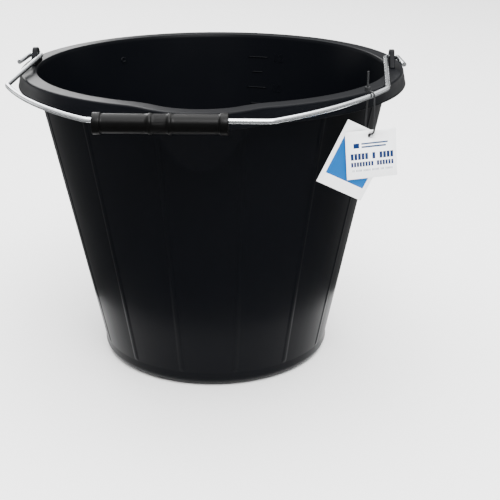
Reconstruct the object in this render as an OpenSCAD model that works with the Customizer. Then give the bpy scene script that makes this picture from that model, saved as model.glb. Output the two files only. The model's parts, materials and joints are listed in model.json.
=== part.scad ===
// Heavy-duty bucket with a pouring lip, a folding wire bail, a loose tube grip
// and a hang tag. Millimetres, +Z up. The origin is the centre of the underside;
// the pouring lip and the folded bail point along -Y, the ears stand at +X and -X.

/* [Bucket] */
// Height from the floor to the top of the rim
height = 266.4; // [200:0.1:400]
// Outer radius of the flange at its top
rim_r = 168; // [130:0.5:220]
// Width of the flat top of the flange
flange_w = 14.3; // [10:0.1:20]
// Thickness of the flange plate
flange_t = 3; // [2:0.1:4]
// Depth of the skirt that hangs from the flange, measured from the rim top
skirt_h = 13; // [8:0.5:20]
// How far the skirt flares out from top to bottom
skirt_flare = 2.2; // [0:0.1:4]
// Thickness of the skirt
skirt_t = 2.6; // [1.5:0.1:4]
// Rounding of the flange's outer top edge
rim_round = 2; // [0.5:0.1:2.5]
// Wall thickness of the bucket
wall = 3; // [2:0.1:4.5]
// Outer radius of the wall where it would meet the floor
base_r = 103.1; // [80:0.1:125]
// Rounding between the wall and the underside
base_round = 10; // [5:0.5:15]
// Thickness of the floor of the bucket
floor_t = 3.5; // [2.5:0.1:5]

/* [Ribs] */
// Number of upright ribs moulded on the wall
rib_count = 14; // [6:2:20]
// Width of a rib
rib_w = 3.6; // [2:0.1:6]
// How far a rib stands out from the wall
rib_h = 0.8; // [0.4:0.1:1.5]
// Height above the floor at which the ribs start
rib_foot = 14; // [12:1:40]

/* [Pouring lip] */
// Inner radius of the lip, seen from above
lip_r = 50; // [38:0.5:60]
// How far the lip's inner edge stands out past the rim's inner edge
lip_reach = 14.8; // [10:0.1:20]
// Radius that blends the lip into the round rim
lip_blend_r = 70; // [40:1:90]
// Depth below the rim at which the lip's channel runs out into the wall
lip_depth = 56; // [40:1:80]

/* [Ears] */
// Height of the bail's pivot above the rim
pivot_rise = 7.4; // [5:0.1:12]
// Clearance all round the wire in the ear's hole
ear_clearance = 0.5; // [0.2:0.05:0.8]
// Thickness of an ear
ear_t = 4.6; // [3.5:0.1:7]
// Width of plastic round the ear's hole
ear_rim = 4.1; // [3:0.1:6]
// Length of an ear's foot along the rim
ear_foot = 40; // [30:1:50]
// Distance from the rim's inner edge to the ear's inner face
ear_inset = 1.5; // [1:0.1:4]

/* [Bail] */
// Diameter of the galvanised wire
wire_d = 4; // [3:0.1:5]
// Free gap between the wire and each face of the ear
side_play = 0.9; // [0.4:0.1:1.5]
// Angle below level at which the folded bail lies
bail_tilt = 2.9; // [0:0.1:4]
// Sideways lean of the bail's outline
bail_lean = 3.5; // [0:0.1:4]
// Gap between the skirt and the shoulders of the folded bail
shoulder_gap = 13.8; // [10:0.1:25]
// Length of the straight stretch that carries the grip
grip_straight = 135.4; // [120:0.1:170]
// How far each slanting side bows outward at its middle
side_bow = 7.4; // [4:0.1:10]
// Straight left at each end of a slanting side, beyond its long curve
side_end = 6; // [5:0.5:15]
// Radius of the short bends at the shoulders and beside the grip
bend_r = 12; // [6:0.5:16]
// Radius of the tight bends at the pivots
hook_bend_r = 3; // [2.5:0.1:4.5]
// Length of the hooked wire end
hook_l = 27; // [15:0.5:35]
// How far the hooked end splays outward at its tip
hook_splay = 3.5; // [0:0.1:5]

/* [Grip] */
// Length of the grip
grip_l = 98.7; // [80:0.1:112]
// Diameter of the grip's tube
grip_d = 14.7; // [12:0.1:18]
// Diameter of the collar at each end
collar_d = 16.3; // [14:0.1:20]
// Width of each collar
collar_w = 6; // [3:0.1:10]
// Diameter of the grip's bore
grip_bore = 9.4; // [7:0.1:10.5]
// Gap between the wire and the top of the bore, which rests on it
grip_clearance = 0.3; // [0.1:0.05:0.6]
// Width and spacing of the textured middle band between its two rings
band_w = 14.4; // [8:0.1:30]
// Width of each ring beside the band
ring_w = 2.8; // [1.5:0.1:4]
// How far a ring stands out from the tube
ring_h = 0.6; // [0.2:0.1:0.8]
// Distance from the grip's left end to the middle of the band
band_at = 49; // [40:0.5:58]
// Gap between the grip and the front of the pouring lip
grip_gap = 2.6; // [1:0.1:8]
// Gap between the grip's left end and the bend beside it
grip_end_gap = 1.5; // [0.5:0.1:5]

/* [Hang tag] */
// Diameter of the nylon tie
tie_d = 1.5; // [1:0.1:2]
// Free gap between the tie and what it passes round or through
tie_clearance = 0.3; // [0.2:0.05:0.6]
// Angle along the slanting side at which the tie hangs, from its middle
tie_angle = 8.2; // [-9:0.1:9]
// Turn of the tie's loop away from square to the wire
tie_turn = -14; // [-14:0.5:0]
// Drop from the wire's centre to the bottom of the tie
tie_drop = 30.5; // [22:0.5:45]
// Width of the tie's loop where it carries the cards
tie_loop_w = 10; // [8:0.5:14]
// Length of the tie's free tail
tie_tail = 14; // [5:0.5:25]
// Side of the tie's lock head
tie_head = 3.6; // [2.5:0.1:5]
// Free gap between the tie and the top of a card's hole
card_play = 0.6; // [0.5:0.05:0.9]
// Thickness of a card
card_t = 0.6; // [0.4:0.1:1]
// Space between the two cards
card_gap = 1.2; // [0.8:0.1:2]
// Width of both cards
card_w = 40.5; // [30:0.5:50]
// Height of the front card
front_card_h = 39; // [30:0.5:50]
// Height of the back card
back_card_h = 55; // [40:0.5:65]
// Diameter of the hole in a card
card_hole_d = 4.6; // [4:0.1:6]
// Distance from a card's top edge to its hole's centre
card_hole_in = 4.4; // [3.5:0.1:7]
// Direction that the cards face, turned from straight ahead
card_yaw = 8; // [-12:0.1:15]
// Tilt of the front card in its own plane
front_card_tilt = 4.5; // [-20:0.5:20]
// Tilt of the back card in its own plane
back_card_tilt = -26; // [-30:0.5:20]

/* [Hidden] */
$fn = 96;
eps = 0.01;
far = 4 * rim_r;

// Where two round stretches meet end to end, one is this much slimmer and runs this far into the other
seam_step = 0.02;
seam_lap = 0.15;
// How far the wall stays behind the flange's inner edge
mouth_step = 0.2;

// The wall's cone and the rim
rim_inner_r = rim_r - flange_w;
skirt_r = rim_r + skirt_flare;
wall_slope = (rim_inner_r + wall - base_r) / height;
wall_angle = atan(wall_slope);
wall_level_t = wall / cos(wall_angle);
function wall_outer_r(z) = base_r + wall_slope * z;
function wall_inner_r(z) = wall_outer_r(z) - wall_level_t;

// Centre and sweep of each arc of the pouring lip, seen from above
lip_centre_y = -(rim_inner_r + lip_reach - lip_r);
lip_blend_y = (pow(rim_inner_r + lip_blend_r, 2) - pow(lip_r + lip_blend_r, 2) + pow(lip_centre_y, 2))
              / (2 * lip_centre_y);
lip_blend_x = sqrt(pow(rim_inner_r + lip_blend_r, 2) - pow(lip_blend_y, 2));
lip_mouth_angle = atan(lip_blend_x / -lip_blend_y);
lip_side_angle = atan(lip_blend_x / (lip_centre_y - lip_blend_y));
wall_top = height - flange_t / 2;
lip_front_y = lip_centre_y - lip_r - flange_w - skirt_flare;
channel_angle = atan((rim_inner_r + lip_reach + wall - wall_outer_r(height - lip_depth)) / lip_depth);
channel_centre_y = lip_r / cos(channel_angle) - rim_inner_r - lip_reach;

// Pivot, ears and the wire's outline in the plane of the bail
pivot_z = height + pivot_rise;
ear_x = rim_inner_r + ear_inset;
ear_hole_d = wire_d + 2 * ear_clearance;
ear_top_r = ear_hole_d / 2 + ear_rim;
ear_sink = flange_t / 3;
arm_x = ear_x - side_play - wire_d / 2;
hook_x = ear_x + ear_t + side_play + wire_d / 2;
shoulder_v = sqrt(pow(skirt_r + shoulder_gap, 2) - pow(arm_x, 2));
bail_reach = -lip_front_y + grip_gap + grip_d / 2;
side_mid = [(arm_x + grip_straight / 2) / 2, (shoulder_v + bail_reach) / 2];
side_out = unit([bail_reach - shoulder_v, arm_x - grip_straight / 2]);
side_corner = side_mid + 2 * side_bow * side_out;
function lean(p) = [p[0] - p[1] * tan(bail_lean), -p[1]];
function hook_end(side) = [side * (hook_x + hook_splay), -hook_l];
function half_bail(side) = [
    hook_end(side),
    [side * hook_x, 0],
    [side * arm_x, 0],
    lean([side * arm_x, shoulder_v]),
    lean([side * side_corner[0], side_corner[1]]),
    lean([side * grip_straight / 2, bail_reach])
];
function side_curve_r(p) = (min(norm(p[4] - p[3]), norm(p[5] - p[4])) - side_end) * tan(corner_half(p, 4));
function half_radii(p) = [0, hook_bend_r, hook_bend_r, bend_r, side_curve_r(p), bend_r];
function reversed(list) = [for (i = [len(list) - 1 : -1 : 0]) list[i]];
left_half = half_bail(-1);
right_half = half_bail(1);
bail_points = concat(right_half, reversed(left_half));
bail_radii = concat(half_radii(right_half), reversed(half_radii(left_half)));

// A path of straights joined by bends: where each bend starts, its centre and its turn
function unit(v) = v / norm(v);
function to_last(p, i) = unit(p[i - 1] - p[i]);
function to_next(p, i) = unit(p[i + 1] - p[i]);
function corner_half(p, i) = acos(to_last(p, i) * to_next(p, i)) / 2;
function bend_reach(p, r, i) = r[i] == 0 ? 0 : r[i] / tan(corner_half(p, i));
function bend_centre(p, r, i) = p[i] + unit(to_last(p, i) + to_next(p, i)) * r[i] / sin(corner_half(p, i));
function turns_left(p, i) = cross(-to_last(p, i), to_next(p, i)) > 0;
function heading(v) = atan2(v[1], v[0]);

// Where the grip sits on the wire
corner_left = lean([-grip_straight / 2, bail_reach]);
left_bend_i = len(bail_points) - len(left_half);
grip_x = corner_left[0] + bend_reach(bail_points, bail_radii, left_bend_i) + grip_end_gap;
grip_hang = grip_bore / 2 - wire_d / 2 - grip_clearance;
grip_y = -bail_reach * cos(bail_tilt);
grip_z = pivot_z - bail_reach * sin(bail_tilt) - grip_hang;

// Where the tie hangs: a point of the right side's long curve
side_i = 4;
side_centre = bend_centre(bail_points, bail_radii, side_i);
tie_across = heading(bail_points[side_i] - side_centre) + tie_angle;
tie_heading = tie_across + tie_turn;
tie_flat = side_centre + bail_radii[side_i] * [cos(tie_across), sin(tie_across)];
tie_at = [tie_flat[0], tie_flat[1] * cos(bail_tilt), pivot_z + tie_flat[1] * sin(bail_tilt)];
tie_top = wire_d / 2 + tie_clearance + tie_d / 2;
tie_side = wire_d / 2 / cos(tie_turn) - tie_d / 2 * tan(tie_turn) + tie_clearance + tie_d / 2;
tie_head_at = [-tie_side - 0.2 * tie_head, tie_top + 0.4 * tie_head];
tie_points = [
    [-tie_side, tie_top],
    [tie_side, tie_top],
    [tie_loop_w / 2, tie_loop_w - tie_drop],
    [tie_loop_w / 2, -tie_drop],
    [-tie_loop_w / 2, -tie_drop],
    [-tie_loop_w / 2, tie_loop_w - tie_drop],
    [-tie_side, tie_top]
];
tie_turn_r = 0.45 * tie_loop_w;
tie_radii = [0, tie_top - tie_clearance, 2 * tie_loop_w, tie_turn_r, tie_turn_r, 2 * tie_loop_w, 0];

// Where the cards hang on the bottom of the tie
card_pitch = card_t + card_gap;
card_lean = cos(tie_heading + 90 - card_yaw);
card_slide = card_pitch / 2 / card_lean;
hole_drop = card_hole_d / 2 - tie_d / 2 - card_play;
function card_pivot(side) = tie_at + [side * card_slide * cos(tie_heading),
                                      side * card_slide * sin(tie_heading), -tie_drop];

module rod_path(p, r, d) {
    for (i = [0 : len(p) - 2]) {
        along = to_next(p, i);
        start = p[i] + along * (i == 0 ? 0 : bend_reach(p, r, i) - seam_lap);
        end = p[i + 1] - along * (i == len(p) - 2 ? 0 : bend_reach(p, r, i + 1) - seam_lap);
        translate([start[0], start[1], 0]) rotate([0, 90, heading(along)])
            cylinder(h = norm(end - start), d = d);
    }
    for (i = [1 : len(p) - 2]) {
        centre = bend_centre(p, r, i);
        first = p[i] + bend_reach(p, r, i) * (turns_left(p, i) ? to_last(p, i) : to_next(p, i));
        translate([centre[0], centre[1], 0]) rotate([0, 0, heading(first - centre)])
            rotate_extrude(angle = 180 - 2 * corner_half(p, i))
                translate([r[i], 0]) circle(d = d + 2 * seam_step);
    }
}

// Section of the flange and skirt; x is the distance outward from the rim's inner edge
module rim_section(inset) {
    top = height - inset;
    out = flange_w - inset;
    low = height - skirt_h + inset;
    skirt_in = flange_w - skirt_t + inset;
    corner = rim_round - inset;
    polygon([
        [inset, height - flange_t + inset], [skirt_in, height - flange_t + inset],
        [skirt_in + skirt_flare, low], [out + skirt_flare, low],
        [out, top - corner], [out - corner, top], [inset, top]
    ]);
    translate([out - corner, top - corner]) circle(r = corner);
}

// The round rim, the lip's nose and the two blends between them
module rim() {
    mouth = lip_mouth_angle;
    lap = 2 * asin(seam_lap / lip_blend_r / 2);
    rotate([0, 0, -90 + mouth]) rotate_extrude(angle = 360 - 2 * mouth)
        translate([rim_inner_r, 0]) rim_section(0);
    translate([0, lip_centre_y, 0]) rotate([0, 0, -90 - lip_side_angle])
        rotate_extrude(angle = 2 * lip_side_angle) translate([lip_r, 0]) rim_section(0);
    for (side = [0, 1]) mirror([side, 0, 0])
        translate([lip_blend_x, lip_blend_y, 0]) rotate([0, 0, 90 + mouth - lap])
            rotate_extrude(angle = lip_side_angle - mouth + 2 * lap)
                translate([lip_blend_r, 0]) mirror([1, 0]) rim_section(seam_step);
}

// Opening of the wall under the flange, seen from above
module mouth_outline() {
    circle(r = rim_inner_r + mouth_step);
    translate([0, lip_centre_y]) circle(r = lip_r + mouth_step);
    difference() {
        polygon([
            [0, 0], [lip_blend_x, lip_blend_y], [0, lip_centre_y], [-lip_blend_x, lip_blend_y]
        ]);
        for (side = [-1, 1]) translate([side * lip_blend_x, lip_blend_y])
            circle(r = lip_blend_r - 4 * seam_step);
    }
}

// Solid of revolution inside the wall's outer face, with the rounded foot
module outer_form() {
    foot_x = base_r - base_round * tan(45 - wall_angle / 2);
    rotate_extrude() intersection() {
        union() {
            polygon([
                [0, 0], [foot_x, 0], [foot_x, base_round],
                [wall_outer_r(base_round), base_round], [wall_outer_r(wall_top), wall_top], [0, wall_top]
            ]);
            translate([foot_x, base_round]) circle(r = base_round);
        }
        polygon([[0, 0], [base_r, 0], [wall_outer_r(height), height], [0, height]]);
    }
}

// Hollow of the bucket, open at the top
module inner_form() {
    rotate_extrude() polygon([
        [0, floor_t], [wall_inner_r(floor_t) - base_round / 2, floor_t],
        [wall_inner_r(floor_t + base_round / 2), floor_t + base_round / 2],
        [wall_inner_r(height), height], [0, height]
    ]);
}

// Leaning cylinder of the lip's channel, cut level at the given height
module channel_form(r, top) {
    intersection() {
        translate([0, channel_centre_y, height]) rotate([channel_angle, 0, 0])
            translate([0, 0, -2 * lip_depth]) cylinder(h = 3 * lip_depth, r = r);
        translate([-far / 2, -far, height - 2 * lip_depth]) cube([far, far, 2 * lip_depth - height + top]);
    }
}

module rib(angle, top) {
    rotate([0, 0, angle]) translate([wall_outer_r(rib_foot) - wall / 2, -rib_w / 2, rib_foot])
        rotate([0, wall_angle, 0]) cube([wall / 2 + rib_h, rib_w, (top - rib_foot) / cos(wall_angle)]);
}

// Upright plate with a round head about the pivot, moulded on the flange
module ear() {
    head = asin(ear_top_r / norm([ear_foot / 2, pivot_rise + ear_sink]));
    side = atan((pivot_rise + ear_sink) / (ear_foot / 2)) + head;
    difference() {
        translate([ear_x, 0, pivot_z]) rotate([90, 0, 90]) linear_extrude(ear_t) {
            circle(r = ear_top_r);
            polygon([
                [-ear_foot / 2, -pivot_rise - ear_sink], [ear_foot / 2, -pivot_rise - ear_sink],
                ear_top_r * [sin(side), cos(side)], ear_top_r * [-sin(side), cos(side)]
            ]);
        }
        translate([ear_x - eps, 0, pivot_z]) rotate([0, 90, 0])
            cylinder(h = ear_t + 2 * eps, d = ear_hole_d);
    }
}

module bucket_body() {
    color([0.06, 0.065, 0.075]) {
        difference() {
            union() {
                outer_form();
                channel_form(lip_r + wall, wall_top);
                for (i = [0 : rib_count - 1]) rib(-90 + (i + 0.5) * 360 / rib_count, height - skirt_h);
            }
            inner_form();
            channel_form(lip_r, height);
            translate([0, 0, height - flange_t - mouth_step]) linear_extrude(flange_t) mouth_outline();
        }
        rim();
        for (side = [0, 1]) mirror([side, 0, 0]) ear();
    }
}

module bail_wire() {
    color([0.72, 0.74, 0.76])
        translate([0, 0, pivot_z]) rotate([bail_tilt, 0, 0])
            rod_path(bail_points, bail_radii, wire_d);
}

// A tube with a collar at each end and two rings beside its textured band
module grip() {
    color([0.05, 0.05, 0.055])
        translate([grip_x, grip_y, grip_z]) rotate([0, 90, 0]) difference() {
            union() {
                cylinder(h = grip_l, d = grip_d);
                cylinder(h = collar_w, d = collar_d);
                translate([0, 0, grip_l - collar_w]) cylinder(h = collar_w, d = collar_d);
                for (side = [-1, 1]) translate([0, 0, band_at + side * band_w / 2 - ring_w / 2])
                    cylinder(h = ring_w, d = grip_d + 2 * ring_h);
            }
            translate([0, 0, -1]) cylinder(h = grip_l + 2, d = grip_bore);
        }
}

// Nylon loop round the wire, closed by a lock head with a free tail
module tag_tie() {
    color([0.05, 0.05, 0.06])
        translate(tie_at) rotate([90, 0, tie_heading]) {
            rod_path(tie_points, tie_radii, tie_d);
            translate([tie_head_at[0], tie_head_at[1], 0]) {
                cube(tie_head, center = true);
                rotate([-90, 0, 0]) cylinder(h = tie_tail, d = tie_d);
            }
        }
}

// A card that hangs from the tie by the hole in its top edge
module card(h, side, tilt) {
    translate(card_pivot(side)) rotate([0, -tilt, card_yaw]) translate([0, card_t / 2, -hole_drop])
        rotate([90, 0, 0]) linear_extrude(card_t) difference() {
            translate([-card_w / 2, card_hole_in - h]) square([card_w, h]);
            circle(d = card_hole_d, $fn = 48);
        }
}

module tag_card_front() {
    color([0.95, 0.95, 0.94]) card(front_card_h, 1, front_card_tilt);
}

module tag_card_back() {
    color([0.9, 0.93, 0.96]) card(back_card_h, -1, back_card_tilt);
}

bucket_body();
bail_wire();
grip();
tag_tie();
tag_card_front();
tag_card_back();
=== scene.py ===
import json

import bpy
import numpy as np
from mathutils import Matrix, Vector


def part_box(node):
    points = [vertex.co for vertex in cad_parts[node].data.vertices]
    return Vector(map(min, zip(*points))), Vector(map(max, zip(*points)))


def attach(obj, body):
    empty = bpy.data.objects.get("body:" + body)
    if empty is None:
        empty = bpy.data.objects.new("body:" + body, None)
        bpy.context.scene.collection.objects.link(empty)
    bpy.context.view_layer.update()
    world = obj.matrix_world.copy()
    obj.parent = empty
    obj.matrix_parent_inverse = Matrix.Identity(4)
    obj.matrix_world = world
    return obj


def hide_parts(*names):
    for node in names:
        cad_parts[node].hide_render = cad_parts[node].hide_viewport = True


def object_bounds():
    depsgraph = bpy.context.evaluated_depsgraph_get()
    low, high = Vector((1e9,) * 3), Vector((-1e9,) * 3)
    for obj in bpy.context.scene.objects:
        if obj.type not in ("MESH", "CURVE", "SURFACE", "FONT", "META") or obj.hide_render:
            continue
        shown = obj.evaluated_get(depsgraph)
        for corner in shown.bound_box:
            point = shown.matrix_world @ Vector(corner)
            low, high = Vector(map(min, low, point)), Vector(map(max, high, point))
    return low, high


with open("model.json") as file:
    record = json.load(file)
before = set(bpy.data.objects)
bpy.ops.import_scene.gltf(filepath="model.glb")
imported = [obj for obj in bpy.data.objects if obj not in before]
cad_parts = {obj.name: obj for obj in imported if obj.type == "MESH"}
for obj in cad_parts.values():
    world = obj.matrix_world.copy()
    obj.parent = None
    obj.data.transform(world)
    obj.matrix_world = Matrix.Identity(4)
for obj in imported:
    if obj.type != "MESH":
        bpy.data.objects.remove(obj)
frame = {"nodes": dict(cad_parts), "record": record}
cad_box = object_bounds()

# ---------------------------------------------------------------------------
# Camera: a 78 mm lens on a 36 mm frame, a little right of the bucket's middle. It looks down on
# the pouring lip from about a metre.
CAMERA_AT = (0.0663, -0.9550, 0.4574)
CAMERA_LOOKS = (-0.03257, 0.93278, -0.35896)
LENS = 78.0
LENS_FRAME = 36.0
CLIP_START = 0.05

camera_data = bpy.data.cameras.new("camera")
camera_data.lens = LENS
camera_data.sensor_width = LENS_FRAME
camera_data.clip_start = CLIP_START
camera = bpy.data.objects.new("camera", camera_data)
camera.location = CAMERA_AT
camera.rotation_euler = Vector(CAMERA_LOOKS).to_track_quat("-Z", "Y").to_euler()
bpy.context.collection.objects.link(camera)
bpy.context.scene.camera = camera

# ---------------------------------------------------------------------------
# Bucket: one polypropylene moulding with a tapered wall, a flange with a hanging skirt and a
# pouring lip that leans out of the wall. It shrinks a little as it cools, so every edge is soft.
# The two ears are part of the same moulding and follow in their own section.
RIM_Z = 0.2664
FLANGE_W = 0.0143
FLANGE_T = 0.0030
RIM_IN = 0.1680 - FLANGE_W
SKIRT_H = 0.0130
SKIRT_FLARE = 0.0022
SKIRT_T = 0.0026
WALL = 0.0030
BASE_R = 0.1031
BASE_ROUND = 0.0100
FLOOR_T = 0.0035
FLOOR_ROUND = 0.0060
SLOPE = (RIM_IN + WALL - BASE_R) / RIM_Z

LIP_R = 0.0500
LIP_REACH = 0.0148
LIP_DEPTH = 0.0560
LIP_BLEND_TOP = 0.0700
LIP_BLEND_LOW = 0.0080
LIP_BLEND_DEPTH = 0.0160
LIP_LEAN = SLOPE + LIP_REACH / LIP_DEPTH

RIBS = 14
RIB_W = 0.0036
RIB_H = 0.0005
RIB_EDGE = 0.0009
RIB_FOOT = 0.0140
RIB_ZONE = RIB_W / 2 + 2 * RIB_EDGE
RIB_COLUMNS = 11
FREE_COLUMNS = 16


def smooth_step(x):
    """0 below 0, 1 above 1, and 3 x squared less 2 x cubed between."""
    x = np.clip(x, 0.0, 1.0)
    return x * x * (3.0 - 2.0 * x)


def round_corner(centre, radius, start, end, steps):
    """Points of an arc: centre plus radius times the cosine and sine of angles from start to end
    degrees."""
    turn = np.radians(np.linspace(start, end, steps))
    return np.stack([centre[0] + radius * np.cos(turn), centre[1] + radius * np.sin(turn)], axis=1)


def lip_outline(angle, z, out):
    """The wall from above at height z, out metres outside its inner face, as a radius and a normal.
    Away from the lip it is the cone's circle. At the lip it is a circle about a centre on -Y that
    moves in with depth, and between the two it is an arc that touches both. The radius is where the
    ray at that angle meets the circle or arc: the centre's share along the ray, plus or minus the
    root of the circle's radius squared less the centre's distance from the ray squared."""
    depth = RIM_Z - z
    cone = RIM_IN - SLOPE * depth + out
    nose = LIP_R + out
    centre = RIM_IN + LIP_REACH - LIP_R - LIP_LEAN * depth
    fade = np.clip(depth / LIP_BLEND_DEPTH, 0.0, 1.0)
    blend = LIP_BLEND_TOP + (LIP_BLEND_LOW - LIP_BLEND_TOP) * fade - out
    far, near = cone + blend, nose + blend
    reach = np.where(centre + nose > cone, (far**2 + centre**2 - near**2) / (2 * far * centre), 1.0)
    spread = np.arccos(np.clip(reach, -1.0, 1.0))
    turn = (angle + np.pi / 2 + np.pi) % (2 * np.pi) - np.pi
    side, turn = np.sign(turn), np.abs(turn)
    blend_p, blend_q = far * np.cos(spread), far * np.sin(spread)
    touch = np.arctan2(blend_q * nose / near, centre + (blend_p - centre) * nose / near)
    to_nose = centre * np.cos(turn)
    on_nose = to_nose + np.sqrt(np.maximum(to_nose**2 - centre**2 + nose**2, 0.0))
    to_blend = far * np.cos(turn - spread)
    on_blend = to_blend - np.sqrt(np.maximum(to_blend**2 - far**2 + blend**2, 0.0))
    in_lip, in_nose = turn < spread, turn < np.minimum(touch, spread)
    radius = np.where(in_nose, on_nose, np.where(in_lip, on_blend, cone))
    p, q = radius * np.cos(turn), radius * np.sin(turn)
    beside_p = np.where(in_lip, (blend_p - p) / blend, np.cos(turn))
    normal_p = np.where(in_nose, (p - centre) / nose, beside_p)
    beside_q = np.where(in_lip, (blend_q - q) / blend, np.sin(turn))
    normal_q = np.where(in_nose, q / nose, beside_q)
    return radius, side * normal_q, -normal_p


def column_angles(radius):
    """Angles of the columns at a given radius. Some keep a fixed distance from each rib's middle, so
    they run straight up it, and the rest share what is left up to the next rib. The angle is the rib's
    middle, plus the distance over the radius, plus a share of the free angle."""
    far = np.linspace(1.0, 0.0, FREE_COLUMNS)[:-1]
    near = np.linspace(-RIB_ZONE, RIB_ZONE, RIB_COLUMNS)
    share = np.concatenate([-far, np.zeros(near.size), far[:0:-1]])
    across = np.concatenate([np.full(far.size, -RIB_ZONE), near, np.full(far.size - 1, RIB_ZONE)])
    middle = np.radians(-90 + (np.arange(RIBS) + 0.5) * 360 / RIBS)
    radius = np.asarray(radius)[:, None, None]
    free = np.pi / RIBS - RIB_ZONE / radius
    angle = middle[None, :, None] + across[None, None, :] / radius + share[None, None, :] * free
    return angle.reshape(radius.shape[0], -1), np.tile(across, RIBS)


def closed_surface(name, points, material, poles=()):
    """A mesh from a grid of points, rows by columns. Columns join round, and rows join round too
    unless poles gives a point that closes the first row and one that closes the last. Where six times
    the volume, the sum of x times the cross product of each triangle, is negative, faces are turned."""
    rows, columns = points.shape[:2]
    index = np.arange(rows * columns).reshape(rows, columns)
    beside = np.roll(index, -1, axis=1)
    vertices = points.reshape(-1, 3)
    last = rows - 1 if len(poles) else rows
    below = np.roll(index, -1, axis=0)
    below_beside = np.roll(beside, -1, axis=0)
    faces = np.stack([index, beside, below_beside, below], axis=2)[:last].reshape(-1, 4).tolist()
    if len(poles):
        vertices = np.concatenate([vertices, np.array(poles)])
        first, end = rows * columns, rows * columns + 1
        faces += np.stack([beside[0], index[0], np.full(columns, first)], axis=1).tolist()
        faces += np.stack([index[-1], beside[-1], np.full(columns, end)], axis=1).tolist()
    halves = [face[:3] for face in faces] + [[face[0], *face[2:]] for face in faces if len(face) == 4]
    corners = (vertices - vertices.mean(axis=0))[halves]
    volume = np.sum(corners[:, 0] * np.cross(corners[:, 1], corners[:, 2]))
    if volume < 0:
        faces = [face[::-1] for face in faces]
    mesh = bpy.data.meshes.new(name)
    mesh.from_pydata(vertices.tolist(), [], faces)
    mesh.polygons.foreach_set("use_smooth", np.ones(len(mesh.polygons), dtype=bool))
    mesh.materials.append(material)
    piece = bpy.data.objects.new(name, mesh)
    bpy.context.collection.objects.link(piece)
    return piece


def linear(colour):
    """Six sRGB hex digits as linear red, green, blue and an alpha of 1."""
    value = np.array([int(colour[i : i + 2], 16) for i in (0, 2, 4)]) / 255
    value = np.where(value <= 0.04045, value / 12.92, ((value + 0.055) / 1.055) ** 2.4)
    return (*value.tolist(), 1.0)


def add_node(tree, kind, settings=None, links=None):
    """Adds a node. settings gives sockets and properties their values, links joins sockets to outputs."""
    node = tree.nodes.new(kind)
    for name, value in (settings or {}).items():
        if isinstance(name, str) and hasattr(node, name):
            setattr(node, name, value)
        else:
            node.inputs[name].default_value = value
    for name, output in (links or {}).items():
        tree.links.new(output, node.inputs[name])
    return node


def new_material(name, settings):
    """A material with one Principled shader, whose sockets take the settings."""
    material = bpy.data.materials.new(name)
    material.use_nodes = True
    tree = material.node_tree
    tree.nodes.clear()
    shader = add_node(tree, "ShaderNodeBsdfPrincipled", settings)
    add_node(tree, "ShaderNodeOutputMaterial", links={"Surface": shader.outputs["BSDF"]})
    return material, tree, shader


# Polypropylene, injection moulded in a polished tool: a deep black that reads slightly blue, with
# a satin gloss. The flow of the melt leaves slow changes of gloss and a faint orange peel. The IOR
# is set below the plastic's usual 1.49, which keeps the wall as dark as the real one.
MOULDED_IOR = 1.20
MOULDED_GLOSS = (0.28, 0.35)
NOISE_RANGE = (0.3, 0.7)
PEEL = 0.004
PEEL_DEPTH = 0.00001
FLOW = 0.05

polypropylene, tree, shader = new_material(
    "moulded_polypropylene",
    {"Base Color": linear("06070A"), "IOR": MOULDED_IOR, "Specular IOR Level": 0.25},
)
place = add_node(tree, "ShaderNodeTexCoord")
flow = add_node(
    tree, "ShaderNodeTexNoise", {"Scale": 1 / FLOW, "Detail": 3.0}, {"Vector": place.outputs["Object"]}
)
gloss = add_node(
    tree,
    "ShaderNodeMapRange",
    {
        "From Min": NOISE_RANGE[0],
        "From Max": NOISE_RANGE[1],
        "To Min": MOULDED_GLOSS[0],
        "To Max": MOULDED_GLOSS[1],
    },
    {"Value": flow.outputs["Fac"]},
)
peel = add_node(
    tree, "ShaderNodeTexNoise", {"Scale": 1 / PEEL, "Detail": 1.0}, {"Vector": place.outputs["Object"]}
)
bump = add_node(
    tree, "ShaderNodeBump", {"Strength": 0.3, "Distance": PEEL_DEPTH}, {"Height": peel.outputs["Fac"]}
)
tree.links.new(gloss.outputs["Result"], shader.inputs["Roughness"])
tree.links.new(bump.outputs["Normal"], shader.inputs["Normal"])

INNER_EDGE = 0.0010
OUTER_EDGE = 0.0022
SKIRT_EDGE = 0.0007
UNDER_ROUND = 0.0020
WALL_LEAN = np.degrees(np.arctan(SLOPE))
DISC_STEPS = np.linspace(0.01, 0.98, 8)

# Inside, from the middle of the floor up to the rim: rows of height and of distance out from the
# wall's inner face.
floor_wall = RIM_IN - SLOPE * (RIM_Z - FLOOR_T - FLOOR_ROUND)
floor_reach = floor_wall - FLOOR_ROUND * (1 - np.tan(np.radians(WALL_LEAN / 2)))
floor_disc = DISC_STEPS * floor_reach
floor_corner = round_corner((floor_reach, FLOOR_T + FLOOR_ROUND), FLOOR_ROUND, -90, -WALL_LEAN, 7)
inner_z = np.concatenate([
    np.linspace(floor_corner[-1, 1] + 0.004, RIM_Z - LIP_DEPTH - 0.006, 22),
    np.linspace(RIM_Z - LIP_DEPTH, RIM_Z - INNER_EDGE - 0.0004, 26),
])
inner_low_z = np.concatenate([np.full(floor_disc.size, FLOOR_T), floor_corner[:, 1]])
inner_low_r = np.concatenate([floor_disc, floor_corner[:, 0]])
inner_low_out = inner_low_r - (RIM_IN - SLOPE * (RIM_Z - inner_low_z))

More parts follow.
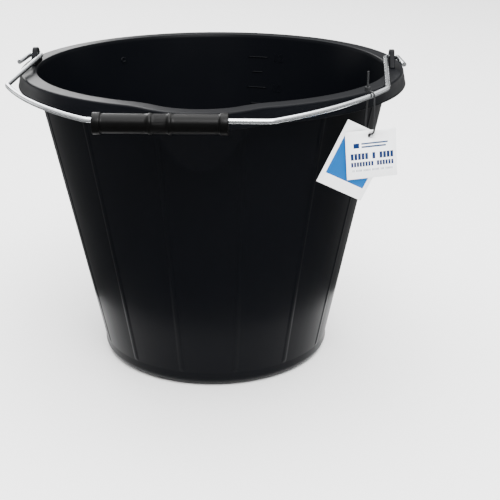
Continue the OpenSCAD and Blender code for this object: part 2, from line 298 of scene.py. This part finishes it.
# The flange and its skirt: rows of distance out from the rim's inner edge and of height.
skirt_low = RIM_Z - SKIRT_H
skirt_out = FLANGE_W + SKIRT_FLARE
skirt_lean = np.degrees(np.arctan(SKIRT_FLARE / (SKIRT_H - OUTER_EDGE)))
skirt_corner = FLANGE_W - SKIRT_T - UNDER_ROUND
rim_rows = np.concatenate([
    round_corner((INNER_EDGE, RIM_Z - INNER_EDGE), INNER_EDGE, 180, 90, 6),
    [(FLANGE_W * 0.25, RIM_Z), (FLANGE_W * 0.5, RIM_Z), (FLANGE_W * 0.72, RIM_Z)],
    round_corner((FLANGE_W - OUTER_EDGE, RIM_Z - OUTER_EDGE), OUTER_EDGE, 90, skirt_lean, 9),
    [(FLANGE_W + SKIRT_FLARE * 0.35, RIM_Z - OUTER_EDGE - (SKIRT_H - OUTER_EDGE) * 0.35)],
    [(FLANGE_W + SKIRT_FLARE * 0.75, RIM_Z - OUTER_EDGE - (SKIRT_H - OUTER_EDGE) * 0.75)],
    round_corner((skirt_out - SKIRT_EDGE, skirt_low + SKIRT_EDGE), SKIRT_EDGE, 0, -90, 5),
    round_corner((skirt_out - SKIRT_T + SKIRT_EDGE, skirt_low + SKIRT_EDGE), SKIRT_EDGE, -90, -180, 5),
    round_corner((skirt_corner, RIM_Z - FLANGE_T - UNDER_ROUND), UNDER_ROUND, 0, 90, 5),
    round_corner((WALL + UNDER_ROUND, RIM_Z - FLANGE_T - UNDER_ROUND), UNDER_ROUND, 90, 180, 5),
])

# Outside, from under the flange down to the floor and in to the middle of the underside.
foot_wall = RIM_IN + WALL - SLOPE * (RIM_Z - BASE_ROUND)
foot_reach = foot_wall - BASE_ROUND * (1 - np.tan(np.radians(WALL_LEAN / 2)))
foot_corner = round_corner((foot_reach, BASE_ROUND), BASE_ROUND, -WALL_LEAN, -90, 11)
outer_z = np.concatenate([
    np.linspace(RIM_Z - FLANGE_T - UNDER_ROUND - 0.002, RIM_Z - LIP_DEPTH, 26),
    np.linspace(RIM_Z - LIP_DEPTH - 0.006, RIB_FOOT + 0.004, 24),
    RIB_FOOT + np.array([0.003, 0.002, 0.001, 0.0, -0.001]),
])
foot_disc = DISC_STEPS[::-1] * foot_reach
outer_low_z = np.concatenate([foot_corner[:, 1], np.zeros(foot_disc.size)])
outer_low_r = np.concatenate([foot_corner[:, 0], foot_disc])
outer_low_out = outer_low_r - (RIM_IN - SLOPE * (RIM_Z - outer_low_z))

row_z = np.concatenate([inner_low_z, inner_z, rim_rows[:, 1], outer_z, outer_low_z])
wall_out = np.concatenate([
    inner_low_out,
    np.zeros(inner_z.size + len(rim_rows)),
    np.full(outer_z.size, WALL),
    outer_low_out,
])
rim_out = np.zeros(row_z.size)
is_rim = np.zeros(row_z.size, dtype=bool)
rim_start = inner_low_z.size + inner_z.size
is_rim[rim_start : rim_start + len(rim_rows)] = True
rim_out[is_rim] = rim_rows[:, 0]
is_outer_wall = np.zeros(row_z.size, dtype=bool)
is_outer_wall[rim_start + len(rim_rows) : rim_start + len(rim_rows) + outer_z.size] = True

row_r = np.where(is_rim, RIM_IN, RIM_IN + WALL - SLOPE * (RIM_Z - row_z))
angle, across = column_angles(row_r)
outline_z = np.where(is_rim, RIM_Z, row_z)[:, None]
radius, normal_x, normal_y = lip_outline(angle, outline_z, wall_out[:, None])
rib_top = smooth_step((RIB_W / 2 + RIB_EDGE - np.abs(across)) / (2 * RIB_EDGE))
rib_foot = smooth_step((row_z - RIB_FOOT + 0.001) / 0.004) * is_outer_wall
radius = radius + RIB_H * rib_top[None, :] * rib_foot[:, None]
shell = np.stack([
    radius * np.cos(angle) + rim_out[:, None] * normal_x,
    radius * np.sin(angle) + rim_out[:, None] * normal_y,
    np.broadcast_to(row_z[:, None], angle.shape),
], axis=2)
bucket = closed_surface("bucket_shell", shell, polypropylene, [(0, 0, FLOOR_T), (0, 0, 0)])
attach(bucket, "bucket")

# ---------------------------------------------------------------------------
# Scale: bars and numbers of litres on the inner wall at the back, part of the same moulding. They
# stand out by half a millimetre, because they are cut into the mould's core.
MARK_OUT = 0.0005
MARK_SINK = 0.0004
MARK_H = 0.0011
LONG_MARK = 0.020
SHORT_MARK = 0.011
BAR_STEPS = 9
MARK_TURN = np.radians(76)
NUMBER_H = 0.0075
NUMBER_GAP = 0.006
CAPITAL_SHARE = 0.7

levels_z = np.linspace(FLOOR_T, RIM_Z, 400)
levels_r = RIM_IN - SLOPE * (RIM_Z - levels_z)
litres = np.concatenate([[0], np.cumsum(np.pi * levels_r[:-1] ** 2 * np.diff(levels_z)) * 1000])
mark_litres = np.arange(1, 13)
mark_z = np.interp(mark_litres, litres, levels_z)


def on_wall(sideways, up, out, middle=MARK_TURN):
    """A place on the inner wall: sideways along the wall's circle from its middle, up it, and out
    into the bucket."""
    wall_r = RIM_IN - SLOPE * (RIM_Z - up)
    turn = middle - sideways / wall_r
    return np.stack([(wall_r - out) * np.cos(turn), (wall_r - out) * np.sin(turn), up], axis=-1)


def wall_bar(name, up, length, height):
    """A raised bar with sloping sides: steps along it, and at each its section, which runs from the
    wall up the slope, across the top and back into the wall."""
    along = np.linspace(-length / 2, length / 2, BAR_STEPS)
    section_up = np.array([-0.5, -0.35, 0.35, 0.5]) * height
    section_out = np.array([-MARK_SINK, MARK_OUT, MARK_OUT, -MARK_SINK])
    sideways, rise = np.meshgrid(along, section_up, indexing="ij")
    out = np.broadcast_to(section_out, rise.shape)
    ends = [on_wall(np.array(end), np.array(up), np.array(0.0)) for end in (along[0], along[-1])]
    return closed_surface(name, on_wall(sideways, up + rise, out), polypropylene, ends)


for litre, height in zip(mark_litres, mark_z):
    length = LONG_MARK if litre % 2 == 0 else SHORT_MARK
    bar = wall_bar(f"scale_mark_{litre}", height, length, MARK_H)
    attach(bar, "bucket")


def wall_number(text, up):
    """Digits as a mesh: letters drawn flat, then each point moved onto the wall beside its bar."""
    letters = bpy.data.curves.new(f"scale_number_{text}", "FONT")
    letters.body = text
    letters.size = NUMBER_H / CAPITAL_SHARE
    letters.extrude = (MARK_OUT + MARK_SINK) / 2
    letters.resolution_u = 3
    letters.align_y = "CENTER"
    drawn = bpy.data.objects.new("drawn", letters)
    bpy.context.collection.objects.link(drawn)
    bpy.context.view_layer.update()
    graph = bpy.context.evaluated_depsgraph_get()
    mesh = bpy.data.meshes.new_from_object(drawn.evaluated_get(graph))
    bpy.data.objects.remove(drawn)
    flat = np.empty(len(mesh.vertices) * 3)
    mesh.vertices.foreach_get("co", flat)
    flat = flat.reshape(-1, 3)
    sideways = flat[:, 0] + LONG_MARK / 2 + NUMBER_GAP
    placed = on_wall(sideways, flat[:, 1] + up, flat[:, 2] + (MARK_OUT - MARK_SINK) / 2)
    mesh.vertices.foreach_set("co", placed.ravel())
    mesh.materials.clear()
    mesh.materials.append(polypropylene)
    mesh.name = f"scale_number_{text}"
    number = bpy.data.objects.new(mesh.name, mesh)
    bpy.context.collection.objects.link(number)
    return number


for litre, height in zip(mark_litres, mark_z):
    if litre % 2 == 0:
        number = wall_number(str(litre), height)
        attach(number, "bucket")

# Pip: a small raised ring below the rim at the back, where a pin of the mould pushed the bucket
# out. Its rings run from the wall over the raised edge down to a shallow dish.
PIP_TURN = np.radians(130.3)
PIP_Z = 0.2468
PIP_DISH = 0.0001
pip_r = np.array([0.0030, 0.0027, 0.0017, 0.0013])[:, None]
pip_out = np.array([-MARK_SINK, MARK_OUT, MARK_OUT, PIP_DISH])[:, None]
pip_turn = np.linspace(0, 2 * np.pi, 32, endpoint=False)
pip_rings = on_wall(
    pip_r * np.cos(pip_turn), PIP_Z + pip_r * np.sin(pip_turn), pip_out + np.zeros(pip_turn.size), PIP_TURN
)
pip_poles = [
    on_wall(np.array(0.0), np.array(PIP_Z), np.array(out), PIP_TURN) for out in (-MARK_SINK, PIP_DISH)
]
pip = closed_surface("ejector_pip", pip_rings, polypropylene, pip_poles)
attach(pip, "bucket")

# ---------------------------------------------------------------------------
# Ears: two upright plates moulded on the flange, each with a hole for the wire's bent end. The
# flanks slope down to a long foot, and the tool leaves a small round along every edge.
PIVOT_Z = 0.2738
EAR_IN = RIM_IN + 0.0015
EAR_T = 0.0046
EAR_TOP_R = 0.0066
EAR_FOOT = 0.0400
EAR_SINK = 0.0010
EAR_EDGE = 0.0006
EAR_HOLE_R = 0.0025
EAR_COLUMNS = 96

foot_drop = PIVOT_Z - RIM_Z + EAR_SINK
flank = np.arctan2(foot_drop, EAR_FOOT / 2) + np.arcsin(EAR_TOP_R / np.hypot(EAR_FOOT / 2, foot_drop))


def ear_outline(turn, inset):
    """Distance from the pivot to the ear's edge. Over the top it is a circle, beside it the line that
    touches that circle and runs down to the foot, and below it the foot: distance over cosine."""
    off_top = np.abs((turn - np.pi / 2 + np.pi) % (2 * np.pi) - np.pi)
    flank_normal = np.pi / 2 - flank
    past = np.minimum(np.maximum(off_top - flank_normal, 0.0), np.radians(89))
    side = (EAR_TOP_R - inset) / np.cos(past)
    below = np.where(off_top > np.radians(91), -np.cos(off_top), 1e-6)
    return np.minimum(side, foot_drop / below)


def ear(side):
    """Rings round the pivot: hole, inner face, rounded edge, outer face and back through the hole."""
    corner = np.arctan2(-foot_drop, EAR_FOOT / 2)
    even = np.linspace(0, 2 * np.pi, EAR_COLUMNS, endpoint=False)
    turn = np.sort(np.concatenate([even, [corner + 2 * np.pi, np.pi - corner]]))
    edge = round_corner((0, 0), EAR_EDGE, 180, 90, 4)
    depth = np.concatenate([[0.0], edge[:, 0] + EAR_EDGE, (EAR_T - EAR_EDGE - edge[:, 0])[::-1], [EAR_T]])
    inset = np.concatenate([[EAR_EDGE], EAR_EDGE - edge[:, 1], (EAR_EDGE - edge[:, 1])[::-1], [EAR_EDGE]])
    rings = [np.full(turn.size, EAR_HOLE_R + EAR_EDGE / 2)]
    levels = [0.0]
    rings += [ear_outline(turn, ring_inset) for ring_inset in inset[1:-1]]
    levels += depth[1:-1].tolist()
    rings += [np.full(turn.size, EAR_HOLE_R + EAR_EDGE / 2)] + [np.full(turn.size, EAR_HOLE_R)] * 2
    levels += [EAR_T, EAR_T - EAR_EDGE / 2, EAR_EDGE / 2]
    rings, levels = np.array(rings), np.array(levels)[:, None] + np.zeros(turn.size)
    points = np.stack([
        side * (EAR_IN + levels), rings * np.cos(turn), PIVOT_Z + rings * np.sin(turn)
    ], axis=2)
    return closed_surface("ear_right" if side > 0 else "ear_left", points, polypropylene)


for side in (1, -1):
    plate = ear(side)
    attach(plate, "bucket")
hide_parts("bucket_body")

# ---------------------------------------------------------------------------
# Bail: one length of drawn steel wire, hot-dip galvanised, bent cold into an open loop whose two
# hooked ends pass out through the ears. Bright zinc whose gloss changes in faint small patches.
ZINC_SPANGLE = 0.003
ZINC_GLOSS = (0.14, 0.26)

galvanised, tree, shader = new_material(
    "galvanised_steel_wire",
    {"Base Color": linear("D9DCDF"), "Metallic": 1.0, "Roughness": 0.22},
)
place = add_node(tree, "ShaderNodeTexCoord")
spangle = add_node(
    tree,
    "ShaderNodeTexNoise",
    {"Scale": 1 / ZINC_SPANGLE, "Detail": 2.0},
    {"Vector": place.outputs["Object"]},
)
zinc_gloss = add_node(
    tree,
    "ShaderNodeMapRange",
    {
        "From Min": NOISE_RANGE[0],
        "From Max": NOISE_RANGE[1],
        "To Min": ZINC_GLOSS[0],
        "To Max": ZINC_GLOSS[1],
    },
    {"Value": spangle.outputs["Fac"]},
)
tree.links.new(zinc_gloss.outputs["Result"], shader.inputs["Roughness"])
frame["nodes"]["bail_wire"].data.materials[0] = galvanised

# ---------------------------------------------------------------------------
# Grip: a polyethylene tube, moulded and threaded on the wire before the wire is bent. It has a
# collar at each end and two rings, with fine flutes between them.
grip_low, grip_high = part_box("grip")
GRIP_Y = (grip_low[1] + grip_high[1]) / 2
GRIP_Z = (grip_low[2] + grip_high[2]) / 2
GRIP_X = grip_low[0]
GRIP_L = grip_high[0] - grip_low[0]
COLLAR_R = (grip_high[1] - grip_low[1]) / 2
TUBE_R = COLLAR_R - 0.0008
BORE_R = 0.0047
COLLAR_W = 0.0060
COLLAR_STEP = 0.0001
COLLAR_CLEAR = 0.0015
RING_R = TUBE_R + 0.0006
RING_W = 0.0028
BAND_AT = 0.0490
BAND_W = 0.0144
LEFT_TUBE = (0.012, 0.038)
RIGHT_TUBE = (0.060, 0.088)
EDGE = 0.0006
FLUTES = 44
FLUTE_DEEP = 0.00025


def bead(middle, width, radius):
    """A rounded ring on the tube. Its height is the root of 1 less the fourth power of the distance
    from its middle, in half widths."""
    along = np.linspace(-1, 1, 9)
    rise = np.sqrt(1 - along**4)
    return np.stack([middle + along * width / 2, TUBE_R + (radius - TUBE_R) * rise], axis=1)


left_collar = np.concatenate([
    [(0.0, BORE_R + EDGE)],
    round_corner((EDGE, COLLAR_R - EDGE), EDGE, 180, 90, 5),
    round_corner((COLLAR_W - EDGE, COLLAR_R - EDGE), EDGE, 90, 0, 5),
    [(COLLAR_W + COLLAR_STEP, TUBE_R), (COLLAR_W + COLLAR_CLEAR, TUBE_R)],
])
band_steps = np.linspace(BAND_AT - BAND_W / 2 + RING_W / 2, BAND_AT + BAND_W / 2 - RING_W / 2, 8)
outside = np.concatenate([
    left_collar,
    np.stack([np.linspace(*LEFT_TUBE, 5), np.full(5, TUBE_R)], axis=1),
    bead(BAND_AT - BAND_W / 2, RING_W, RING_R),
    np.stack([band_steps[1:-1], np.full(6, TUBE_R)], axis=1),
    bead(BAND_AT + BAND_W / 2, RING_W, RING_R),
    np.stack([np.linspace(*RIGHT_TUBE, 5), np.full(5, TUBE_R)], axis=1),
    left_collar[::-1] * [-1, 1] + [GRIP_L, 0],
])
bore = [(GRIP_L - EDGE, BORE_R), (GRIP_L / 2, BORE_R), (EDGE, BORE_R)]
grip_profile = np.concatenate([outside, bore])
grip_turn = np.linspace(0, 2 * np.pi, FLUTES * 4, endpoint=False)
in_band = (grip_profile[:, 0] > band_steps[0]) & (grip_profile[:, 0] < band_steps[-1])
in_band &= grip_profile[:, 1] > BORE_R
flutes = FLUTE_DEEP * in_band[:, None] * (1 - np.cos(FLUTES * grip_turn)) / 2
grip_r = grip_profile[:, 1:] - flutes
tube = np.stack([
    np.broadcast_to(GRIP_X + grip_profile[:, :1], grip_r.shape),
    GRIP_Y + grip_r * np.cos(grip_turn),
    GRIP_Z + grip_r * np.sin(grip_turn),
], axis=2)

# Polyethylene, moulded in a lightly blasted tool: a soft sheen rather than a gloss.
BLAST = 0.0012

polyethylene, tree, shader = new_material(
    "moulded_polyethylene",
    {"Base Color": linear("030303"), "Roughness": 0.34, "IOR": 1.25, "Specular IOR Level": 0.3},
)
place = add_node(tree, "ShaderNodeTexCoord")
blast = add_node(
    tree, "ShaderNodeTexNoise", {"Scale": 1 / BLAST, "Detail": 1.0}, {"Vector": place.outputs["Object"]}
)
bump = add_node(
    tree, "ShaderNodeBump", {"Strength": 0.4, "Distance": 0.00005}, {"Height": blast.outputs["Fac"]}
)
tree.links.new(bump.outputs["Normal"], shader.inputs["Normal"])
grip = closed_surface("grip_tube", tube, polyethylene)
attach(grip, "grip_tube")
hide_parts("grip")

# ---------------------------------------------------------------------------
# Tie: a thin nylon strap pulled through its own head round the wire. Extruded black nylon, with
# a dull sheen.
nylon = new_material("extruded_nylon", {"Base Color": linear("17181A"), "Roughness": 0.5, "IOR": 1.53})[0]
frame["nodes"]["tag_tie"].data.materials[0] = nylon

# ---------------------------------------------------------------------------
# Cards: clay-coated board, printed, punched and cut. The front one carries plain blocks and rules,
# the back one a plain panel. Such board has a soft sheen and hardly any grain.
CARD_W = 0.0405
CARD_T = 0.0006
CARD_HOLE_R = 0.0023
CARD_HOLE_IN = 0.0044
HOLE_DROP = 0.00095
CARD_EDGE = 0.0001
INK = 0.00005
FACING = (0.139173, -0.990268, 0.0)
FIBRE = 0.0015
CLOUD_DARK = 0.97

joints = {joint["name"]: joint for joint in frame["record"]["behaviour"]["joints"]}


def coated_board(name, colour):
    """White clay-coated board: nearly white, a soft sheen, and a faint cloud from its fibres."""
    material, tree, shader = new_material(name, {"Roughness": 0.42, "IOR": 1.48})
    place = add_node(tree, "ShaderNodeTexCoord")
    cloud = add_node(
        tree, "ShaderNodeTexNoise", {"Scale": 1 / FIBRE, "Detail": 2.0}, {"Vector": place.outputs["Object"]}
    )
    tint = add_node(tree, "ShaderNodeMix", {"data_type": "RGBA"}, {"Factor": cloud.outputs["Fac"]})
    shade = np.array(linear(colour))
    tint.inputs[6].default_value = (*(shade[:3] * CLOUD_DARK), 1.0)
    tint.inputs[7].default_value = tuple(shade)
    tree.links.new(tint.outputs[2], shader.inputs["Base Color"])
    return material


def card_place(pivot, tilt, sideways, up, out):
    """A point of a card: sideways and up from its hole, turned by its tilt, out from its front face."""
    tilt = np.radians(tilt)
    right = np.array([-FACING[1], FACING[0], 0.0])
    over = np.array([0.0, 0.0, 1.0])
    across = sideways * np.cos(tilt) - up * np.sin(tilt)
    rise = sideways * np.sin(tilt) + up * np.cos(tilt)
    drop = np.array([HOLE_DROP * np.sin(tilt), -HOLE_DROP * np.cos(tilt)])
    across, rise = across + drop[0], rise + drop[1]
    return (
        np.array(pivot)
        + across[..., None] * right
        + rise[..., None] * over
        + (out + CARD_T / 2)[..., None] * np.array(FACING)
    )


def card(name, pivot, height, tilt, material):
    """Rings round the punched hole: its front edge, the card's front edge, its back edge and the
    hole's back edge. The outer rings follow the rectangle: distance to each side over the cosine of
    the angle to it, the least of the four."""
    sides = np.array([CARD_W / 2, CARD_HOLE_IN, CARD_W / 2, height - CARD_HOLE_IN])
    corner_up = [sides[1], sides[1], -sides[3], -sides[3]]
    corner_across = [sides[0], -sides[2], -sides[2], sides[0]]
    corners = np.arctan2(corner_up, corner_across)
    turn = np.sort(np.concatenate([np.linspace(-np.pi, np.pi, 64, endpoint=False), corners]))
    toward = np.cos(turn[None, :] - np.radians([0, 90, 180, 270])[:, None])
    edge = np.min(np.where(toward > 1e-6, sides[:, None] / np.maximum(toward, 1e-6), np.inf), axis=0)
    hole = np.full(turn.size, CARD_HOLE_R)
    rings = np.array([hole, edge - CARD_EDGE, edge, edge, edge - CARD_EDGE, hole])
    out = -CARD_T * np.array([0.0, 0.0, 0.15, 0.85, 1.0, 1.0])[:, None] + np.zeros(turn.size)
    points = card_place(pivot, tilt, rings * np.cos(turn), rings * np.sin(turn), out)
    return closed_surface(name, points, material)


def printed(name, pivot, tilt, bars, material):
    """Flat inked bars on a card's front: each is left, right, low and high from the hole in
    millimetres, as a thin box whose back lies in the board."""
    left, right, low, high = np.array(bars).T[:, :, None] / 1000
    sideways = left + (right - left) * np.array([0, 1, 1, 0, 0, 1, 1, 0])
    up = low + (high - low) * np.array([0, 0, 1, 1, 0, 0, 1, 1])
    out = np.broadcast_to(np.array([-INK] * 4 + [INK] * 4), up.shape)
    vertices = card_place(pivot, tilt, sideways, up, out).reshape(-1, 3)
    box = np.array([
        [0, 3, 2, 1], [4, 5, 6, 7], [0, 1, 5, 4], [1, 2, 6, 5], [2, 3, 7, 6], [3, 0, 4, 7]
    ])
    faces = (box[None] + 8 * np.arange(len(bars))[:, None, None]).reshape(-1, 4)
    mesh = bpy.data.meshes.new(name)
    mesh.from_pydata(vertices.tolist(), [], faces.tolist())
    mesh.materials.append(material)
    piece = bpy.data.objects.new(name, mesh)
    bpy.context.collection.objects.link(piece)
    return piece


white_board = coated_board("coated_white_board", "F4F5F6")

# Offset inks: flat colours with a dull finish, too thin to show any grain.
blue_ink = new_material(
    "printing_ink_blue", {"Base Color": linear("03204C"), "Roughness": 0.6, "Specular IOR Level": 0.1}
)[0]
sky_ink = new_material(
    "printing_ink_sky", {"Base Color": linear("00508C"), "Roughness": 0.4, "Specular IOR Level": 0.1}
)[0]
grey_ink = new_material("printing_ink_grey", {"Base Color": linear("1E3A60"), "Roughness": 0.4})[0]

FRONT_H = 0.0390
FRONT_TILT = 4.5
front_pivot = joints["card_front_swing"]["pos_m"]
front = card("card_front", front_pivot, FRONT_H, FRONT_TILT, white_board)
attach(front, "card_front")
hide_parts("tag_card_front")

LETTER_GAP = 0.6


def letter_blocks(words, left, right, low, high):
    """Plain blocks in place of letters, in millimetres: equal blocks with a gap between them and a
    blank between words."""
    blank = np.concatenate([np.append(np.ones(word, dtype=bool), False) for word in words])[:-1]
    step = (right - left + LETTER_GAP) / blank.size
    starts = left + step * np.flatnonzero(blank)
    return [(start, start + step - LETTER_GAP, low, high) for start in starts]


strong_bars = [(-14.0, -9.4, -9.4, -5.4)]
strong_bars += letter_blocks((5, 1, 4), -16.5, 17.5, -18.9, -13.7)
strong_bars += letter_blocks((8, 6), -16.5, 17.5, -24.6, -20.8)
fine_bars = [(-7.6, 13.5, -6.7, -5.4), (-7.6, 12.0, -9.4, -8.0)]
fine_bars += letter_blocks((2, 5, 6, 6, 3, 6), -15.5, 16.5, -28.6, -27.0)
prints = (("front_print_strong", strong_bars, blue_ink), ("front_print_fine", fine_bars, grey_ink))
for name, bars, ink in prints:
    ink_piece = printed(name, front_pivot, FRONT_TILT, bars, ink)
    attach(ink_piece, "card_front")

BACK_H = 0.0550
BACK_TILT = -26.0
back_pivot = joints["card_back_swing"]["pos_m"]
back = card("card_back", back_pivot, BACK_H, BACK_TILT, white_board)
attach(back, "card_back")
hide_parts("tag_card_back")
panel = printed("back_print_panel", back_pivot, BACK_TILT, [(-16.8, 16.8, -41.0, -8.0)], sky_ink)
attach(panel, "card_back")

# ---------------------------------------------------------------------------
# Floor: a plain sheet of white backdrop paper under the bucket, wide enough to fill the view. It
# lies a fifth of a millimetre below the foot, so that the two don't share a plane.
FLOOR_SIZE = 30.0
FLOOR_DROP = 0.0002

backdrop_paper = new_material("white_backdrop_paper", {"Base Color": linear("F6F6F6"), "Roughness": 0.9})[0]
half = FLOOR_SIZE / 2
floor_mesh = bpy.data.meshes.new("floor")
sheet_corners = [(-half, -half, 0), (half, -half, 0), (half, half, 0), (-half, half, 0)]
floor_mesh.from_pydata(sheet_corners, [], [(0, 1, 2, 3)])
floor_mesh.materials.append(backdrop_paper)
floor = bpy.data.objects.new("floor", floor_mesh)
floor.location = (0, 0, cad_box[0][2] - FLOOR_DROP)
bpy.context.collection.objects.link(floor)

# ---------------------------------------------------------------------------
# Light: a sky that is dim near the horizon and bright overhead, and five soft boxes. One is above,
# one behind at the left that grazes the rim, one in front, and a weak one at each side.
SKY_LOW = 0.15
SKY_HIGH = 2.3
SKY_FROM = 0.2
SKY_TO = 0.7

world = bpy.data.worlds.new("studio")
world.use_nodes = True
tree = world.node_tree
heading = add_node(tree, "ShaderNodeTexCoord")
split = add_node(tree, "ShaderNodeSeparateXYZ", {}, {"Vector": heading.outputs["Generated"]})
sky = add_node(
    tree,
    "ShaderNodeMapRange",
    {"From Min": SKY_FROM, "From Max": SKY_TO, "To Min": SKY_LOW, "To Max": SKY_HIGH},
    {"Value": split.outputs["Z"]},
)
background = tree.nodes["Background"]
background.inputs["Color"].default_value = (1, 1, 1, 1)
tree.links.new(sky.outputs["Result"], background.inputs["Strength"])
bpy.context.scene.world = world


def soft_box(name, at, towards, width, height, power):
    """A rectangular light at a place, facing a point, that the camera doesn't see."""
    lamp = bpy.data.lights.new(name, "AREA")
    lamp.shape = "RECTANGLE"
    lamp.size, lamp.size_y, lamp.energy = width, height, power
    box = bpy.data.objects.new(name, lamp)
    box.location = at
    box.rotation_euler = (Vector(towards) - Vector(at)).to_track_quat("-Z", "Y").to_euler()
    box.visible_camera = False
    bpy.context.collection.objects.link(box)


soft_box("soft_box_top", (0.0, 0.2, 2.4), (0, 0, 0), 2.6, 2.6, 130)
soft_box("soft_box_back", (-1.1, 2.4, 1.4), (0, 0, 0.25), 1.3, 1.4, 40)
soft_box("soft_box_front", (0.5, -1.6, 2.2), (0, 0, 0.1), 1.6, 1.2, 110)
soft_box("soft_box_left", (-1.6, 0.6, 0.4), (0, 0, 0.1), 0.8, 0.7, 2.5)
soft_box("soft_box_right", (1.6, 0.6, 0.4), (0, 0, 0.1), 0.8, 0.7, 0.8)

# Flag: a dark grey ring just above the floor that only the gloss sees, a painted dark reflection, not a
# real cloth. It keeps the pale floor out of the upper wall's reflection and leaves it in the lower wall.
FLAG_IN = 0.172
FLAG_OUT = 3.0
FLAG_Z = 0.001

# Its flat grey is painted dark reflection: the camera, the diffuse light and the shadows pass through it.
painted_reflection_grey = new_material(
    "painted_dark_reflection", {"Base Color": linear("4C4C4C"), "Roughness": 1.0, "Specular IOR Level": 0.0}
)[0]
flag_turn = np.linspace(0, 2 * np.pi, 64, endpoint=False)
flag_rings = np.stack([np.cos(flag_turn), np.sin(flag_turn), np.zeros(flag_turn.size)], axis=1)
flag_points = np.concatenate([FLAG_IN * flag_rings, FLAG_OUT * flag_rings]) + [0, 0, FLAG_Z]
inner = np.arange(flag_turn.size)
beside = np.roll(inner, -1)
flag_mesh = bpy.data.meshes.new("painted_reflection_flag")
flag_faces = np.stack([inner, inner + inner.size, beside + inner.size, beside], axis=1)
flag_mesh.from_pydata(flag_points.tolist(), [], flag_faces.tolist())
flag_mesh.materials.append(painted_reflection_grey)
flag = bpy.data.objects.new("painted_reflection_flag", flag_mesh)
flag.visible_camera = False
flag.visible_diffuse = False
flag.visible_shadow = False
bpy.context.collection.objects.link(flag)
